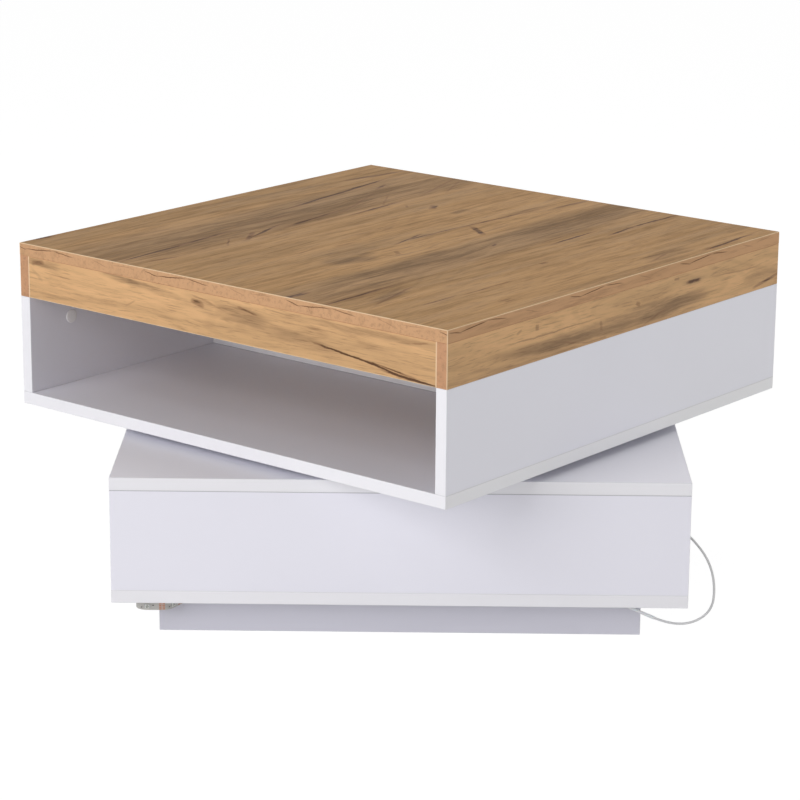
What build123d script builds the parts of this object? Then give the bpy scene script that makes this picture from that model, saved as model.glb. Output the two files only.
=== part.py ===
from build123d import *
import os
from math import radians, tan

# Swivel coffee table: two square storage blocks, one above the other, joined by a
# flat ball-bearing ring. All sizes are in millimetres. The origin is the swivel axis at
# floor level, +Z is up, and the lower block is square to X and Y with its closed front
# wall facing -Y. The upper block stands turned by rest_turn.

# ---------------------------------------------------------------------------
# Driving dimensions
# ---------------------------------------------------------------------------
side = 700.0                 # length and depth of both blocks
board = 16.0                 # thickness of every board
band_ease = 0.4              # bevel of the edge banding
top_ease = 1.0               # rounding of the table top's upper edges
plinth_height = 54.0
plinth_setback = 53.0        # plinth behind the faces of the lower block
lower_wall_height = 127.0
upper_wall_height = 127.0
apron_height = 54.0
rest_turn = -38.8            # degrees that the upper block stands turned

# Swivel bearing
bearing_height = 9.0         # also the gap between the blocks
bearing_air = 0.3            # each ring clears the block it isn't fixed to
race_r = 140.0               # pitch radius of the balls
ball_d = 5.0
ball_count = 14
ball_play = 0.05             # ball to race flank
ring_gap = 1.6               # radial gap between the two rings
race_width = 9.2             # radial width of each ring's race
flange_width = 18.0
flange_thick = 4.0
cage_thick = 0.8
cage_height = 6.6
cage_play = 0.1              # ball to cage window
ring_fixings = 4
ring_fixing_start = 45.0     # degrees, keeps the fixings off the dividers

# Screws of the bearing. Shanks, cams and their bores have flats all round, to stay light.
shank_sides = 8
cam_sides = 12
bore_room = 0.1              # radial room of a screw in its bore
bore_tail = 0.5              # bore beyond the tip of what it holds
bolt_d = 4.0                 # machine screws of the lower ring
screw_d = 3.5                # wood screws of the upper ring
screw_length = 14.0
hex_width = 7.0              # their heads, across the flats
hex_height = 2.6

# Loose tongues, glued into grooves on both sides of a joint
tongue_thick = 4.0
tongue_in_face = 8.0
tongue_in_edge = 12.0
tongue_room = 0.1
long_tongue_inset = 110.0    # of the tongues along the walls, from the walls' ends
end_tongue = 100.0           # at the ends of the dividers
apron_tongue = 34.0          # at the ends of the front and rear aprons

# Eccentric connectors between the upper walls and the side aprons
cam_d = 15.0
cam_thick = 12.0
cam_pocket = 12.5            # depth of the pocket in the wall
cam_drop = 38.0              # cam axis below the joint it pulls together
cam_inset = 73.0             # from the ends of the wall
cam_slot = 8.0               # slot that the bolt's head goes into
cam_bolt_d = 7.0
cam_bolt_bore_d = 8.0
cam_bolt_thread = 10.0       # reach into the apron
cam_bolt_tail = 0.5          # bolt beyond the cam's axis
driver_slot = (1.6, 9.0, 2.0)
cap_d = 18.0
cap_thick = 1.2

# Blocks glued inside the aprons and the plinth
glue_block = 20.0
glue_block_length = 60.0
glue_block_reach = 180.0     # from the middle of each apron
glue_line = 0.1
plinth_block = 28.0
plinth_block_height = 40.0

# Light strip round the plinth
strip_width = 10.0
strip_thick = 0.6
strip_foot = 38.4            # lower edge above the floor
strip_start = 25.0           # soldered end on the plinth's front, from its right corner
strip_end = 27.0             # cut end on the plinth's right side, from the same corner
strip_air = 0.1              # adhesive between strip and plinth
corner_reach = 20.0          # strip leaves the plinth this far before a corner
corner_proud = 2.4           # and stands this far off it
corner_r = 5.0
ease_r = 40.0
loop_proud = 34.0            # loose loop in front of the front left corner
loop_side = 26.0             # and to its left
loop_run = 36.0              # it leaves and joins the plinth this far from the corner
loop_shoulder = 14.0
loop_back = 6.0
loop_rs = (18.0, 16.0, 14.0, 20.0, 24.0)
chip = 5.0
chip_thick = 1.5
chip_seat = 0.2
chip_pitch = 100.0 / 3
chip_first = 28.7            # brings a cut mark to the front of the loop

# Lead from the strip's end into the right-hand compartment
lead_d = 3.0
lead_sides = 6               # flats of the lead and its sleeve, to stay light
sleeve_d = 4.4
sleeve_length = 33.0
sleeve_mouth = (10.4, 2.2)   # flattened end over the solder joint
sleeve_drop = 1.0            # mouth below the middle of the strip
lead_route = (
    (314.0, -303.0, 24.3),
    (332.6, -305.0, 17.3),
    (362.0, -307.0, 19.5),
    (384.0, -309.0, 38.0),
    (386.0, -311.0, 70.0),
    (378.0, -313.5, 102.0),
    (357.0, -318.0, 132.0),
    (332.0, -322.0, 152.0),
    (310.0, -322.0, 152.0),
)
lead_bend = 0.45             # share of the shorter run that a bend takes

# Battery box on the inner face of the front wall
box_x = 267.0                # its middle, along the wall
box_z = 152.0                # and above the floor
box_length = 70.0
box_height = 50.0
box_depth = 22.0
box_wall = 2.0
box_corner = 3.0
tape_thick = 1.0
tape_width = 14.0
tape_reach = 22.0
gland_length = 8.0
gland_d = 6.0
partition = 1.5
lip = 1.6
lip_air = 0.15
fit_air = 0.2                # round what stands in the box
battery_thick = 14.0
circuit_thick = 1.6
switch_bay = 9.0
switch_body = (5.0, 13.5)
switch_travel = 4.0
switch_drop = 6.0            # switch below the box's middle
knob = (3.0, 5.0)
knob_proud = 1.6
knob_flange = (4.6, 7.0)
knob_flange_thick = 0.8

# ---------------------------------------------------------------------------
# Levels and places that follow from them
# ---------------------------------------------------------------------------
lower_bottom_z = plinth_height
lower_wall_z = lower_bottom_z + board
lower_top_z = lower_wall_z + lower_wall_height
bearing_z = lower_top_z + board
upper_bottom_z = bearing_z + bearing_height
upper_wall_z = upper_bottom_z + board
apron_z = upper_wall_z + upper_wall_height
table_top_z = apron_z + apron_height
wall_x = (side - board) / 2              # middle of a wall, from the axis
inner = side - 2 * board                 # clear width between two walls
long_tongue = side - 2 * long_tongue_inset
ball_z = bearing_z + bearing_height / 2
plinth_side = side - 2 * plinth_setback
plinth_face = plinth_side / 2
strip_start_x = plinth_face - strip_start
strip_end_y = strip_end - plinth_face
cam_rows = [end * (side / 2 - cam_inset) for end in (-1, 1)]
BOTTOM = (Align.CENTER, Align.CENTER, Align.MIN)
HANGING = (Align.CENTER, Align.CENTER, Align.MAX)
ENDS = (-1, 1)

# Both blocks are laid out alike in their own frames: walls at -X and +X, the divider
# along X between them, and open compartments to -Y and +Y.
lower_frame = Plane.XY.rotated((0, 0, 90))
upper_frame = Plane.XY.rotated((0, 0, rest_turn))

os.makedirs("parts", exist_ok=True)


def spot(frame, x, y, z, turn=0):
    """Workplane at a point of a block's frame, turned about the vertical."""
    return Plane(frame.location * Location((x, y, z), (0, 0, turn)))


def facing(x, y, z, turn=0):
    """Place on an upright face: Z out of the face, Y up. Turn 0 faces +X."""
    return Location((x, y, z), (0, 0, turn)) * Plane.YZ.location


def under(x, y, z=0):
    """Place on an underside: Z out of it, downwards."""
    return Location((x, y, z), (180, 0, 0))


def save(part, name):
    """Write one piece, under its node's name."""
    part.label = name
    export_step(part, f"parts/{name}.step")


def shank(d, length, sides=shank_sides):
    """Bar along +Z with flats at the given diameter."""
    with BuildPart() as bar:
        with BuildSketch():
            RegularPolygon(d / 2, sides, major_radius=False)
        extrude(amount=length)
    return bar.part


def bore(places, cutter):
    """Cut a bore from each place inwards, along its Z."""
    with Locations(*places):
        add(cutter, mode=Mode.SUBTRACT)


def group(frame, solid, places):
    """Copies of one solid at places given in a block's frame."""
    with BuildPart(frame) as copies:
        with Locations(*places):
            add(solid)
    return copies.part


# ---------------------------------------------------------------------------
# Boards that both blocks share. A joint's place has Z out of the edge board into the
# face board, and Y along the tongue.
# ---------------------------------------------------------------------------
def groove(length, depth):
    """Cut the groove of a tongue, centred on the joint."""
    room = 2 * tongue_room
    Box(tongue_thick + room, length + room, 2 * depth + room, mode=Mode.SUBTRACT)


def end_joints(z, y=0):
    """Places at both ends of a board that stands between the walls."""
    return [facing(end * inner / 2, y, z, 90 - 90 * end) for end in ENDS]


def level_joints(z):
    """Places along both walls and the divider, at one level."""
    return [Location((x, 0, z)) for x in (-wall_x, wall_x)] + [Location((0, 0, z), (0, 0, 90))]


cam_cutter = shank(cam_d, cam_pocket, cam_sides)
bolt_cutter = shank(cam_bolt_bore_d, cam_drop)
thread_cutter = shank(cam_bolt_d + 2 * bore_room, cam_bolt_thread + bore_tail)
ring_bolt_cutter = shank(bolt_d + 2 * bore_room, board)
ring_screw_cutter = shank(screw_d + 2 * bore_room, screw_length - flange_thick + bore_tail)


def wall(plane, height, cams=()):
    """Upright wall on its foot: thickness along X, its inner face at +X."""
    with BuildPart(plane) as piece:
        Box(board, side, height, align=BOTTOM)
        chamfer(piece.edges(), band_ease)
        with Locations((0, 0, 0), (0, 0, height)):
            groove(long_tongue, tongue_in_edge)
        with Locations(facing(board / 2, 0, height / 2)):
            groove(end_tongue, tongue_in_face)
        for y in cams:
            bore([facing(board / 2 - cam_pocket, y, height - cam_drop)], cam_cutter)
            bore([under(0, y, height)], bolt_cutter)
    return piece.part


def divider(plane, height, wall_height):
    """Middle panel on its foot, along X, with its end tongues halfway up the walls."""
    with BuildPart(plane) as piece:
        Box(inner, board, height, align=BOTTOM)
        chamfer(piece.edges(), band_ease)
        with Locations(*[Location((0, 0, z), (0, 0, 90)) for z in (0, height)]):
            groove(long_tongue, tongue_in_edge)
        with Locations(*end_joints(wall_height / 2)):
            groove(end_tongue, tongue_in_edge)
    return piece.part


# ---------------------------------------------------------------------------
# Swivel bearing: two flat rings with V races, balls between them in a thin cage
# ---------------------------------------------------------------------------
lower_rim = race_r - ring_gap / 2
upper_rim = race_r + ring_gap / 2
lower_fixing_r = lower_rim - race_width - flange_width / 2
upper_fixing_r = upper_rim + race_width + flange_width / 2
groove_reach = 2 ** 0.5 * (ball_d / 2 + ball_play)   # bottom of the V from the ball's middle
mouth = groove_reach - ring_gap / 2                  # half the V's height at the rim
ring_height = bearing_height - bearing_air
fixing_turns = [ring_fixing_start + i * 360 / ring_fixings for i in range(ring_fixings)]


def around(radius, place=Location()):
    """A place repeated at the bearing's fixings."""
    return [Location((0, 0, 0), (0, 0, turn)) * Location((radius, 0, 0)) * place for turn in fixing_turns]


with BuildPart(lower_frame) as lower_bearing_ring:
    with BuildSketch(Plane.XZ):
        with BuildLine():
            Polyline(
                (lower_fixing_r - flange_width / 2, bearing_z),
                (lower_rim, bearing_z),
                (lower_rim, ball_z - mouth),
                (race_r - groove_reach, ball_z),
                (lower_rim, ball_z + mouth),
                (lower_rim, bearing_z + ring_height),
                (lower_rim - race_width, bearing_z + ring_height),
                (lower_rim - race_width, bearing_z + flange_thick),
                (lower_fixing_r - flange_width / 2, bearing_z + flange_thick),
                close=True,
            )
        make_face()
    revolve(axis=Axis.Z)
    bore(around(lower_fixing_r, Location((0, 0, bearing_z))), ring_bolt_cutter)
save(lower_bearing_ring.part, "lower_bearing_ring")

with BuildPart(upper_frame) as upper_bearing_ring:
    with BuildSketch(Plane.XZ):
        with BuildLine():
            Polyline(
                (upper_fixing_r + flange_width / 2, upper_bottom_z),
                (upper_rim, upper_bottom_z),
                (upper_rim, ball_z + mouth),
                (race_r + groove_reach, ball_z),
                (upper_rim, ball_z - mouth),
                (upper_rim, upper_bottom_z - ring_height),
                (upper_rim + race_width, upper_bottom_z - ring_height),
                (upper_rim + race_width, upper_bottom_z - flange_thick),
                (upper_fixing_r + flange_width / 2, upper_bottom_z - flange_thick),
                close=True,
            )
        make_face()
    revolve(axis=Axis.Z)
    bore(around(upper_fixing_r, Location((0, 0, upper_bottom_z - flange_thick))), ring_screw_cutter)
save(upper_bearing_ring.part, "upper_bearing_ring")

# Each ball is a cube whose edges are cut back until its flats are even all round.
ball_cut = ball_d * (1 - 2 ** -0.5)
with BuildPart(Plane.XY.offset(ball_z)) as bearing_balls:
    with PolarLocations(race_r, ball_count):
        Box(ball_d, ball_d, ball_d)
    chamfer(bearing_balls.edges(), ball_cut)
save(bearing_balls.part, "bearing_balls")

cage_window = ball_d + 2 * cage_play
with BuildPart(Plane.XY.offset(ball_z)) as ball_cage:
    Cylinder(race_r + cage_thick / 2, cage_height)
    Cylinder(race_r - cage_thick / 2, cage_height, mode=Mode.SUBTRACT)
    with PolarLocations(race_r, ball_count):
        Box(ball_d, cage_window, cage_window, mode=Mode.SUBTRACT)
save(ball_cage.part, "ball_cage")


def hexagon_screw(d, length):
    """Hexagon-headed screw: head below z = 0, shank along +Z."""
    with BuildPart() as screw:
        with BuildSketch():
            RegularPolygon(hex_width / 2, 6, major_radius=False)
        extrude(amount=-hex_height)
        with BuildSketch():
            RegularPolygon(d / 2, shank_sides, major_radius=False)
        extrude(amount=length)
    return screw.part


ring_bolt = hexagon_screw(bolt_d, board + flange_thick - bearing_air)
ring_screw = hexagon_screw(screw_d, screw_length)
save(group(lower_frame.offset(lower_top_z), ring_bolt, around(lower_fixing_r)), "lower_ring_bolts")
save(group(upper_frame.offset(upper_bottom_z - flange_thick), ring_screw, around(upper_fixing_r)),
     "upper_ring_screws")

# ---------------------------------------------------------------------------
# Lower block and its plinth
# ---------------------------------------------------------------------------
save(wall(spot(lower_frame, -wall_x, 0, lower_wall_z), lower_wall_height), "lower_wall_front")
save(wall(spot(lower_frame, wall_x, 0, lower_wall_z, 180), lower_wall_height), "lower_wall_rear")
save(divider(spot(lower_frame, 0, 0, lower_wall_z), lower_wall_height, lower_wall_height), "lower_divider")

with BuildPart(spot(lower_frame, 0, 0, lower_bottom_z)) as lower_bottom_board:
    Box(side, side, board, align=BOTTOM)
    chamfer(lower_bottom_board.edges(), band_ease)
    with Locations(*level_joints(board)):
        groove(long_tongue, tongue_in_face)
save(lower_bottom_board.part, "lower_bottom_board")

with BuildPart(spot(lower_frame, 0, 0, lower_top_z)) as lower_top_board:
    Box(side, side, board, align=BOTTOM)
    chamfer(lower_top_board.edges(), band_ease)
    with Locations(*level_joints(0)):
        groove(long_tongue, tongue_in_face)
    bore(around(lower_fixing_r), ring_bolt_cutter)
save(lower_top_board.part, "lower_top_board")


def plinth_board(x, y, turn, length):
    """Plinth board with its length along the turned Y."""
    with BuildPart(spot(Plane.XY, x, y, 0, turn)) as piece:
        Box(board, length, plinth_height, align=BOTTOM)
        chamfer(piece.edges(), band_ease)
    return piece.part


plinth_mid = plinth_face - board / 2
save(plinth_board(0, -plinth_mid, 90, plinth_side), "plinth_front")
save(plinth_board(0, plinth_mid, 90, plinth_side), "plinth_rear")
save(plinth_board(-plinth_mid, 0, 0, plinth_side - 2 * board), "plinth_left")
save(plinth_board(plinth_mid, 0, 0, plinth_side - 2 * board), "plinth_right")

block_reach = plinth_face - board - glue_line - plinth_block / 2
with BuildPart(Plane.XY.offset(plinth_height - glue_line)) as plinth_blocks:
    with GridLocations(2 * block_reach, 2 * block_reach, 2, 2):
        Box(plinth_block, plinth_block, plinth_block_height, align=HANGING)
save(plinth_blocks.part, "plinth_blocks")

# ---------------------------------------------------------------------------
# Upper block
# ---------------------------------------------------------------------------
with BuildPart(spot(upper_frame, 0, 0, upper_bottom_z)) as upper_bottom_board:
    Box(side, side, board, align=BOTTOM)
    chamfer(upper_bottom_board.edges(), band_ease)
    with Locations(*level_joints(board)):
        groove(long_tongue, tongue_in_face)
    bore(around(upper_fixing_r), ring_screw_cutter)
save(upper_bottom_board.part, "upper_bottom_board")
save(wall(spot(upper_frame, -wall_x, 0, upper_wall_z), upper_wall_height, cam_rows), "upper_wall_left")
save(wall(spot(upper_frame, wall_x, 0, upper_wall_z, 180), upper_wall_height, cam_rows), "upper_wall_right")
upper_clear = upper_wall_height + apron_height
save(divider(spot(upper_frame, 0, 0, upper_wall_z), upper_clear, upper_wall_height), "upper_divider")


def side_apron(plane):
    """Apron that runs the full depth, its inner face at +X."""
    with BuildPart(plane) as piece:
        Box(board, side, apron_height, align=BOTTOM)
        chamfer(piece.edges(), band_ease)
        groove(long_tongue, tongue_in_edge)
        with Locations(*[facing(board / 2, end * wall_x, apron_height / 2) for end in ENDS]):
            groove(apron_tongue, tongue_in_face)
        bore([(0, y) for y in cam_rows], thread_cutter)
    return piece.part


def end_apron(plane):
    """Apron between the two side aprons, along X."""
    with BuildPart(plane) as piece:
        Box(inner, board, apron_height, align=BOTTOM)
        chamfer(piece.edges(), band_ease)
        with Locations(*end_joints(apron_height / 2)):
            groove(apron_tongue, tongue_in_edge)
    return piece.part


save(side_apron(spot(upper_frame, -wall_x, 0, apron_z)), "apron_left")
save(side_apron(spot(upper_frame, wall_x, 0, apron_z, 180)), "apron_right")
save(end_apron(spot(upper_frame, 0, -wall_x, apron_z)), "apron_front")
save(end_apron(spot(upper_frame, 0, wall_x, apron_z)), "apron_rear")

with BuildPart(spot(upper_frame, 0, 0, table_top_z)) as table_top:
    Box(side, side, board, align=BOTTOM)
    fillet(table_top.edges().group_by(Axis.Z)[-1], top_ease)
    chamfer(table_top.edges().group_by(Axis.Z)[0], band_ease)
    with Locations(Location((0, 0, 0), (0, 0, 90))):
        groove(long_tongue, tongue_in_face)
save(table_top.part, "table_top")

with BuildPart() as glue_block_piece:
    Box(glue_block, glue_block_length, glue_block, align=(Align.MIN, Align.CENTER, Align.MAX))
    free_edge = glue_block_piece.edges().filter_by(Axis.Y).group_by(Axis.Z)[0].sort_by(Axis.X)[-1]
    chamfer(free_edge, glue_block / 2)
glue_places = [
    Location((0, 0, table_top_z - glue_line), (0, 0, turn))
    * Location((glue_line - inner / 2, end * glue_block_reach, 0))
    for turn in (0, 90, 180, 270) for end in ENDS
]
save(group(upper_frame, glue_block_piece.part, glue_places), "glue_blocks")

# ---------------------------------------------------------------------------
# Tongues of both blocks
# ---------------------------------------------------------------------------
def tongue(length):
    """Loose tongue with the joint at z = 0."""
    with BuildPart() as piece:
        Box(tongue_thick, length, tongue_in_edge, align=HANGING)
        Box(tongue_thick, length, tongue_in_face, align=BOTTOM)
    return piece.part


def turned_over(places):
    """The same joints where the edge board stands above the face board."""
    return [place * Location((0, 0, 0), (180, 0, 0)) for place in places]


lower_joints = turned_over(level_joints(lower_wall_z)) + level_joints(lower_top_z)
save(group(lower_frame, tongue(long_tongue), lower_joints), "lower_long_tongues")
lower_tongue_z = lower_wall_z + lower_wall_height / 2
save(group(lower_frame, tongue(end_tongue), end_joints(lower_tongue_z)), "lower_end_tongues")

upper_joints = turned_over(level_joints(upper_wall_z)) + level_joints(table_top_z)[-1:]
save(group(upper_frame, tongue(long_tongue), upper_joints), "upper_long_tongues")
upper_tongue_z = upper_wall_z + upper_wall_height / 2
save(group(upper_frame, tongue(end_tongue), end_joints(upper_tongue_z)), "upper_end_tongues")
apron_mid_z = apron_z + apron_height / 2
apron_joints = end_joints(apron_mid_z, -wall_x) + end_joints(apron_mid_z, wall_x)
save(group(upper_frame, tongue(apron_tongue), apron_joints), "apron_tongues")

with BuildPart(upper_frame.offset(apron_z)) as side_apron_tongues:
    with Locations((-wall_x, 0), (wall_x, 0)):
        Box(tongue_thick, long_tongue, 2 * tongue_in_edge)
save(side_apron_tongues.part, "side_apron_tongues")

# ---------------------------------------------------------------------------
# Eccentric connectors: z = 0 is the wall's inner face, and the bolt comes in along +Y
# ---------------------------------------------------------------------------
cam_z = apron_z - cam_drop
cam_places = [facing(-end * inner / 2, y, cam_z, 90 - 90 * end) for end in ENDS for y in cam_rows]
with BuildPart() as cam_lock:
    with Locations((0, 0, -cam_pocket)):
        add(shank(cam_d - 2 * bore_room, cam_thick, cam_sides))
    with Locations((0, 0, cam_thick - cam_pocket)):
        Box(*driver_slot, mode=Mode.SUBTRACT)
    with Locations((0, -cam_bolt_tail - bore_tail, (cam_slot - board) / 2)):
        Box(cam_slot, cam_d, board, align=(Align.CENTER, Align.MIN, Align.MAX), mode=Mode.SUBTRACT)
save(group(upper_frame, cam_lock.part, cam_places), "cam_locks")

with BuildPart() as cam_cap:
    Cylinder(cap_d / 2, cap_thick, align=BOTTOM)
save(group(upper_frame, cam_cap.part, cam_places), "cam_caps")

cam_bolt = shank(cam_bolt_d, cam_bolt_tail + cam_drop + cam_bolt_thread)
bolt_places = [(x, y, cam_z - cam_bolt_tail) for x in (-wall_x, wall_x) for y in cam_rows]
save(group(upper_frame, cam_bolt, bolt_places), "cam_bolts")

# ---------------------------------------------------------------------------
# Light strip: on edge round the plinth, with a loose loop at the front left corner
# ---------------------------------------------------------------------------
strip_line = plinth_face + strip_air + strip_thick / 2
near = plinth_face - corner_reach
proud = plinth_face + corner_proud
strip_points = (
    (strip_start_x, -strip_line),
    (loop_run - plinth_face, -strip_line),
    (loop_shoulder - plinth_face, -plinth_face - loop_proud),
    (-plinth_face - loop_side, -plinth_face - loop_proud),
    (-plinth_face - loop_side, loop_back - plinth_face),
    (-strip_line, loop_run - plinth_face),
    (-strip_line, near),
    (-proud, proud),
    (-near, strip_line),
    (near, strip_line),
    (proud, proud),
    (strip_line, near),
    (strip_line, strip_end_y),
)
with BuildLine(Plane.XY.offset(strip_foot + strip_width / 2)) as strip_course:
    FilletPolyline(*strip_points, radius=loop_rs + (ease_r, corner_r, ease_r) * 2)
strip_path = strip_course.wire()
with BuildPart() as led_strip:
    with BuildSketch(Plane(origin=strip_path @ 0, x_dir=(0, 0, 1), z_dir=strip_path % 0)):
        Rectangle(strip_width, strip_thick)
    sweep(path=strip_path)
save(led_strip.part, "led_strip")

chip_count = int((strip_path.length - 2 * chip_first) // chip_pitch) + 1
chip_places = []
for i in range(chip_count):
    share = (chip_first + i * chip_pitch) / strip_path.length
    along = strip_path % share
    outward = Vector(-along.Y, along.X)
    chip_places.append(Plane(
        origin=strip_path @ share + outward * (strip_thick / 2 + chip_seat), x_dir=along, z_dir=outward))
with BuildPart() as led_chips:
    with Locations(*chip_places):
        Box(chip, chip, chip_thick, align=BOTTOM)
save(led_chips.part, "led_chips")

# ---------------------------------------------------------------------------
# Lead: sleeve over the solder joint, then a free round lead up to the battery box
# ---------------------------------------------------------------------------
lead_points = [Vector(*point) for point in lead_route]
runs = [b - a for a, b in zip(lead_points, lead_points[1:])]
lead_rs = []
for run, following in zip(runs, runs[1:]):
    turn = run.get_angle(following)
    lead_rs.append(lead_bend * min(run.length, following.length) / tan(radians(turn / 2)))
print("lead radii", [round(r, 1) for r in lead_rs])
with BuildLine() as lead_course:
    FilletPolyline(*lead_points, radius=lead_rs)
with BuildPart() as led_lead:
    with BuildSketch(Plane(origin=lead_points[0], z_dir=runs[0])) as lead_section:
        RegularPolygon(lead_d / 2, lead_sides, major_radius=False)
    sweep(path=lead_course.wire())
lead_length = lead_course.wire().length
lead_share = led_lead.part.volume / (lead_section.sketch.area * lead_length)
print("lead length", round(lead_length, 1), "volume over section by length", round(lead_share, 4))
save(led_lead.part, "led_lead")

lead_way = runs[0].normalized()
neck = Plane(origin=lead_points[0] - lead_way * sleeve_length, x_dir=(0, 0, 1), z_dir=lead_way)
mouth_y = -plinth_face - 2 * strip_air - sleeve_mouth[1] / 2
mouth_z = strip_foot + strip_width / 2 - sleeve_drop
mouth_middle = (strip_start_x + strip_air, mouth_y, mouth_z)
with BuildPart() as led_sleeve:
    with BuildSketch(Plane(origin=mouth_middle, x_dir=(0, 0, 1), z_dir=(1, 0, 0))):
        RegularPolygon(sleeve_d / 2, lead_sides, major_radius=False)
        scale(by=(sleeve_mouth[0] / sleeve_d, sleeve_mouth[1] / sleeve_d, 1))
    with BuildSketch(neck) as sleeve_section:
        RegularPolygon(sleeve_d / 2, lead_sides, major_radius=False)
    loft(ruled=True)
    extrude(sleeve_section.sketch, amount=sleeve_length)
save(led_sleeve.part, "led_sleeve")

# ---------------------------------------------------------------------------
# Battery box, taped to the front wall inside the right-hand compartment. Its frame:
# X along the wall towards the divider, Y up, Z out of the wall.
# ---------------------------------------------------------------------------
box_wall_face = Plane(origin=(box_x, -inner / 2, box_z), x_dir=(-1, 0, 0), z_dir=(0, 1, 0))
box_foot = box_wall_face.offset(tape_thick)
box_rim = box_depth - box_wall                       # where the cover lies
bay_x = box_wall + switch_bay / 2 - box_length / 2
partition_x = bay_x + (switch_bay + partition) / 2
battery_start = partition_x + partition / 2 + fit_air
battery_end = box_length / 2 - box_wall - fit_air
inner_height = box_height - 2 * box_wall
floor_z = box_wall + fit_air
flange_top = box_rim - fit_air
slot = (knob[0] + 2 * fit_air, knob[1] + switch_travel + 2 * fit_air)

with BuildPart(box_wall_face) as light_box_tape:
    with Locations((-tape_reach, 0), (tape_reach, 0)):
        Box(tape_width, box_height - 2 * box_corner, tape_thick, align=BOTTOM)
save(light_box_tape.part, "light_box_tape")

with BuildPart(box_foot) as light_box_base:
    with BuildSketch(box_foot):
        RectangleRounded(box_length, box_height, box_corner)
    extrude(amount=box_rim)
    with Locations((0, 0, box_wall)):
        Box(box_length - 2 * box_wall, inner_height, box_depth, align=BOTTOM, mode=Mode.SUBTRACT)
    with Locations((partition_x, 0, box_wall)):
        Box(partition, inner_height, box_rim - box_wall - lip - fit_air, align=BOTTOM)
save(light_box_base.part, "light_box_base")

with BuildPart(box_foot.offset(box_rim)) as light_box_cover:
    with BuildSketch(box_foot.offset(box_rim)):
        RectangleRounded(box_length, box_height, box_corner)
    extrude(amount=box_wall)
    chamfer(light_box_cover.faces().sort_by(Axis.Y)[-1].edges(), band_ease)
    Box(box_length - 2 * (box_wall + lip_air), inner_height - 2 * lip_air, lip, align=HANGING)
    Box(box_length - 3 * box_wall, inner_height - box_wall, lip, align=HANGING, mode=Mode.SUBTRACT)
    with Locations((bay_x, -switch_drop)):
        Box(*slot, 2 * box_depth, mode=Mode.SUBTRACT)
save(light_box_cover.part, "light_box_cover")

with BuildPart(box_foot.offset(floor_z)) as light_box_battery:
    with Locations(((battery_start + battery_end) / 2, 0)):
        Box(battery_end - battery_start, inner_height - 2 * fit_air, battery_thick, align=BOTTOM)
save(light_box_battery.part, "light_box_battery")

with BuildPart(box_foot.offset(floor_z)) as light_box_circuit:
    with Locations((bay_x, 0)):
        Box(switch_bay - 2 * fit_air, inner_height - 2 * fit_air, circuit_thick, align=BOTTOM)
save(light_box_circuit.part, "light_box_circuit")

housing_top = flange_top - knob_flange_thick - fit_air
with BuildPart(box_foot.offset(floor_z + circuit_thick)) as switch_housing:
    with Locations((bay_x, -switch_drop)):
        Box(*switch_body, housing_top - floor_z - circuit_thick, align=BOTTOM)
save(switch_housing.part, "switch_housing")

with BuildPart(box_foot.offset(flange_top)) as switch_slider:
    with Locations((bay_x, -switch_drop - switch_travel / 2)):
        Box(*knob_flange, knob_flange_thick, align=HANGING)
        Box(*knob, box_wall + fit_air + knob_proud, align=BOTTOM)
    chamfer(switch_slider.faces().sort_by(Axis.Y)[-1].edges(), band_ease)
save(switch_slider.part, "switch_slider")

gland_face = Plane(
    origin=(box_x + box_length / 2, -inner / 2 + tape_thick + box_depth / 2, box_z), z_dir=(1, 0, 0))
with BuildPart(gland_face) as light_box_gland:
    with BuildSketch(gland_face):
        RegularPolygon(gland_d / 2, lead_sides, major_radius=False)
    extrude(amount=gland_length)
save(light_box_gland.part, "light_box_gland")
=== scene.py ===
import math

import bmesh
import bpy
from bpy.props import FloatProperty, FloatVectorProperty, PointerProperty
from mathutils import Euler, Matrix, Vector


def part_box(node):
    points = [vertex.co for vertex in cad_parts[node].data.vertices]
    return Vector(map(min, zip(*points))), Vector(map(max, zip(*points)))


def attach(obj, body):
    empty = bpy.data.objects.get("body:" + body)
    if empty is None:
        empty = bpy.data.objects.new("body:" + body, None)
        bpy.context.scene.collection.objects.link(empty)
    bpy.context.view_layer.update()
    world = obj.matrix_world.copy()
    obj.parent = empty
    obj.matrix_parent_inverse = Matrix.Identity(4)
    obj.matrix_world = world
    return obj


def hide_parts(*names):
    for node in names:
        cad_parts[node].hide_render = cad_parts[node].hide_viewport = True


# Swivel coffee table: finishes of its boards, the lead, the light strip, the fittings and
# the stage. All sizes are in metres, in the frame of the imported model: the origin is the
# swivel axis at floor level, +Z is up and the closed front of the lower block faces -Y.

bl_info = {
    "name": "Swivel coffee table",
    "version": (1, 0, 0),
    "blender": (4, 5, 0),
    "location": "3D View > Sidebar > Table",
    "description": "Finishes, fittings, lead and stage of a coffee table with a swivel upper block",
    "category": "Object",
}

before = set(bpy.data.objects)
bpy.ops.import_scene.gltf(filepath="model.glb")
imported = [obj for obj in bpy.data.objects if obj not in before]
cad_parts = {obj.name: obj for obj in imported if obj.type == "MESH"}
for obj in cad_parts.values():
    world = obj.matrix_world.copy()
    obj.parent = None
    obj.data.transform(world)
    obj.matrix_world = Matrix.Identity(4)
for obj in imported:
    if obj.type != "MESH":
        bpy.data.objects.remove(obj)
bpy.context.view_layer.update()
LOWER_TURN = math.radians(90)  # each block's frame: X runs through its two walls
UPPER_TURN = math.radians(-38.8)
UP = Vector((0, 0, 1))
SQUARE = ((-1, -1), (1, -1), (1, 1), (-1, 1))  # its corners, all the way round
BAND_FADE = (-0.0005, -0.0003)  # an edge band fades in between these depths

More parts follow.
